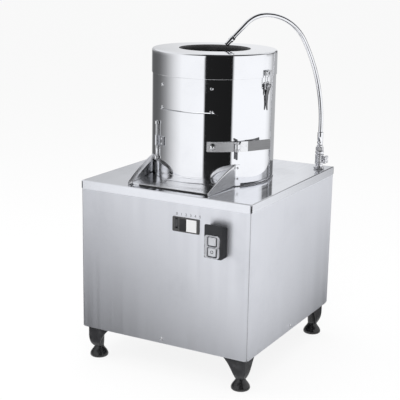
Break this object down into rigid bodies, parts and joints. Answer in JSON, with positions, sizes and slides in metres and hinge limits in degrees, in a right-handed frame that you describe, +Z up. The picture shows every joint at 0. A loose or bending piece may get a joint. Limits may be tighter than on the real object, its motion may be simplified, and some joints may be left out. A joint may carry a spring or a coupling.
{
  "type": "electric potato peeler",
  "caption": "Free-standing abrasive potato peeler: polished drum with a swinging discharge door on a sheet-steel cabinet that holds the belt drive, with a water spout over the mouth.",
  "frame": {"origin": "on the floor, under the middle of the bounding box, which is the middle of the cabinet", "axes": "+X to the machine's right, +Y to its rear, +Z up; the discharge door and the controls face -Y"},
  "size_m": [0.5324, 0.6294, 0.9889],
  "materials": {
    "polished_sheet": "polished stainless sheet, faint scuffs",
    "brushed_sheet": "satin stainless sheet with a fine vertical grain",
    "mirror_steel": "mirror-polished stainless steel",
    "strap_steel": "satin flat steel strap",
    "screw_steel": "bright stainless fasteners",
    "clamp_steel": "nickel-plated clamp parts",
    "dark_pin": "dark steel pin",
    "frame_steel": "plain welded steel angle",
    "abrasive": "silicon-carbide grit in resin",
    "cast_alloy": "sand-cast aluminium alloy",
    "shaft_steel": "ground steel shaft",
    "bearing_steel": "ground bearing steel",
    "cast_grey": "grey cast iron, machined faces",
    "cast_leg": "dark enamelled cast iron",
    "foot_rubber": "glossy black moulded rubber",
    "black_rubber": "black rubber",
    "motor_paint": "blue-grey machine enamel",
    "fan_cover_paint": "dark grey enamel",
    "black_plastic": "black moulded plastic",
    "switch_plastic": "dark grey moulded housing",
    "rocker_plastic": "dark rocker with a pale outline",
    "white_plastic": "white scale plate",
    "button_plastic": "pale grey push buttons",
    "clear_silicone": "translucent silicone cover",
    "chrome_fittings": "chromed brass and tube"
  },
  "bodies": {
    "root": {"deck_panel": "polished_sheet", "front_panel": "brushed_sheet", "rear_panel": "brushed_sheet", "side_panel_left": "brushed_sheet", "side_panel_right": "brushed_sheet", "cabinet_frame": "frame_steel", "leg_front_left": "cast_leg", "leg_rear_left": "cast_leg", "leg_front_right": "cast_leg", "leg_rear_right": "cast_leg", "panel_screws": "screw_steel", "drum_shell": "mirror_steel", "drum_liner": "abrasive", "top_cap": "mirror_steel", "drum_screws": "screw_steel", "discharge_chute": "mirror_steel", "hinge_rod": "screw_steel", "latch_rest": "polished_sheet", "clamp_bases": "clamp_steel", "clamp_hooks": "clamp_steel", "bearing_housing": "cast_grey", "bearings": "bearing_steel", "shaft_seal": "black_rubber", "drive_belt": "black_rubber", "motor": "motor_paint", "motor_fan_cover": "fan_cover_paint", "drain_basin": "polished_sheet", "cable_gland": "black_plastic", "timer_bezel": "black_plastic", "timer_scale": "white_plastic", "switch_housing": "switch_plastic", "switch_cover": "clear_silicone", "water_valve": "chrome_fittings", "spout_nut": "chrome_fittings"},
    "door": {"door_panel": "mirror_steel", "door_liner": "abrasive", "door_hinge_leaf": "polished_sheet", "door_strap": "strap_steel", "door_nuts": "screw_steel", "latch_pin": "dark_pin"},
    "latch_arm": {"latch_handle": "strap_steel"},
    "disc": {"abrasive_disc": "abrasive", "disc_carrier": "cast_alloy", "disc_cap_nut": "screw_steel", "main_shaft": "shaft_steel", "large_pulley": "cast_grey"},
    "motor_rotor": {"motor_pulley": "cast_grey"},
    "lever_right": {"clamp_lever_right": "clamp_steel"},
    "bail_right": {"clamp_bail_right": "clamp_steel"},
    "lever_left": {"clamp_lever_left": "clamp_steel"},
    "bail_left": {"clamp_bail_left": "clamp_steel"},
    "start": {"start_button": "button_plastic"},
    "stop": {"stop_button": "button_plastic"},
    "rocker": {"timer_rocker": "rocker_plastic"},
    "knob": {"valve_knob": "chrome_fittings"},
    "spout": {"spout_pipe": "chrome_fittings"},
    "foot_front_left": {"foot_front_left": "foot_rubber"},
    "foot_rear_left": {"foot_rear_left": "foot_rubber"},
    "foot_front_right": {"foot_front_right": "foot_rubber"},
    "foot_rear_right": {"foot_rear_right": "foot_rubber"}
  },
  "joints": [
    {"name": "door_swing", "type": "hinge", "parent": "root", "child": "door", "pos_m": [-0.09525, -0.15865, 0.6405], "axis": [0, 0, -1], "range_deg": [0, 90]},
    {"name": "latch_swing", "type": "hinge", "parent": "door", "child": "latch_arm", "pos_m": [0.13936, -0.1254, 0.6405], "axis": [0, 0, -1], "range_deg": [0, 120]},
    {"name": "disc_spin", "type": "hinge", "parent": "root", "child": "disc", "pos_m": [0.002, -0.006, 0.48], "axis": [0, 0, 1], "continuous": true},
    {"name": "motor_spin", "type": "hinge", "parent": "root", "child": "motor_rotor", "pos_m": [0.002, 0.184, 0.385], "axis": [0, 0, 1], "continuous": true},
    {"name": "clamp_right", "type": "hinge", "parent": "root", "child": "lever_right", "pos_m": [0.18264, -0.02818, 0.8], "axis": [-0.1219, -0.9925, 0], "range_deg": [0, 90]},
    {"name": "bail_right_turn", "type": "hinge", "parent": "lever_right", "child": "bail_right", "pos_m": [0.18115, -0.028, 0.792], "axis": [-0.1219, -0.9925, 0], "range_deg": [-82, 3]},
    {"name": "clamp_left", "type": "hinge", "parent": "root", "child": "lever_left", "pos_m": [-0.17864, 0.01618, 0.8], "axis": [0.1219, 0.9925, 0], "range_deg": [0, 90]},
    {"name": "bail_left_turn", "type": "hinge", "parent": "lever_left", "child": "bail_left", "pos_m": [-0.17715, 0.016, 0.792], "axis": [0.1219, 0.9925, 0], "range_deg": [-82, 3]},
    {"name": "start_press", "type": "slide", "parent": "root", "child": "start", "axis": [0, 1, 0], "range_m": [0, 0.003], "stiffness_N_per_m": 400},
    {"name": "stop_press", "type": "slide", "parent": "root", "child": "stop", "axis": [0, 1, 0], "range_m": [0, 0.003], "stiffness_N_per_m": 400},
    {"name": "timer_rock", "type": "hinge", "parent": "root", "child": "rocker", "pos_m": [0.0445, -0.2747, 0.449], "axis": [1, 0, 0], "range_deg": [-6, 6]},
    {"name": "tap_turn", "type": "hinge", "parent": "root", "child": "knob", "pos_m": [0.253, 0.228, 0.558], "axis": [1, 0, 0], "range_deg": [0, 270]},
    {"name": "spout_swivel", "type": "hinge", "parent": "root", "child": "spout", "pos_m": [0.238, 0.228, 0.588], "axis": [0, 0, 1], "range_deg": [-110, 40]},
    {"name": "foot_front_left_turn", "type": "hinge", "parent": "root", "child": "foot_front_left", "pos_m": [-0.231, -0.2485, 0.02], "axis": [0, 0, 1], "continuous": true},
    {"name": "foot_rear_left_turn", "type": "hinge", "parent": "root", "child": "foot_rear_left", "pos_m": [-0.231, 0.2485, 0.02], "axis": [0, 0, 1], "continuous": true},
    {"name": "foot_front_right_turn", "type": "hinge", "parent": "root", "child": "foot_front_right", "pos_m": [0.231, -0.2485, 0.02], "axis": [0, 0, 1], "continuous": true},
    {"name": "foot_rear_right_turn", "type": "hinge", "parent": "root", "child": "foot_rear_right", "pos_m": [0.231, 0.2485, 0.02], "axis": [0, 0, 1], "continuous": true}
  ],
  "couplings": [
    {"joint": "motor_spin", "follows": "disc_spin", "ratio": 3.8455},
    {"joint": "bail_right_turn", "follows": "clamp_right", "ratio": -0.878},
    {"joint": "bail_left_turn", "follows": "clamp_left", "ratio": -0.878}
  ]
}
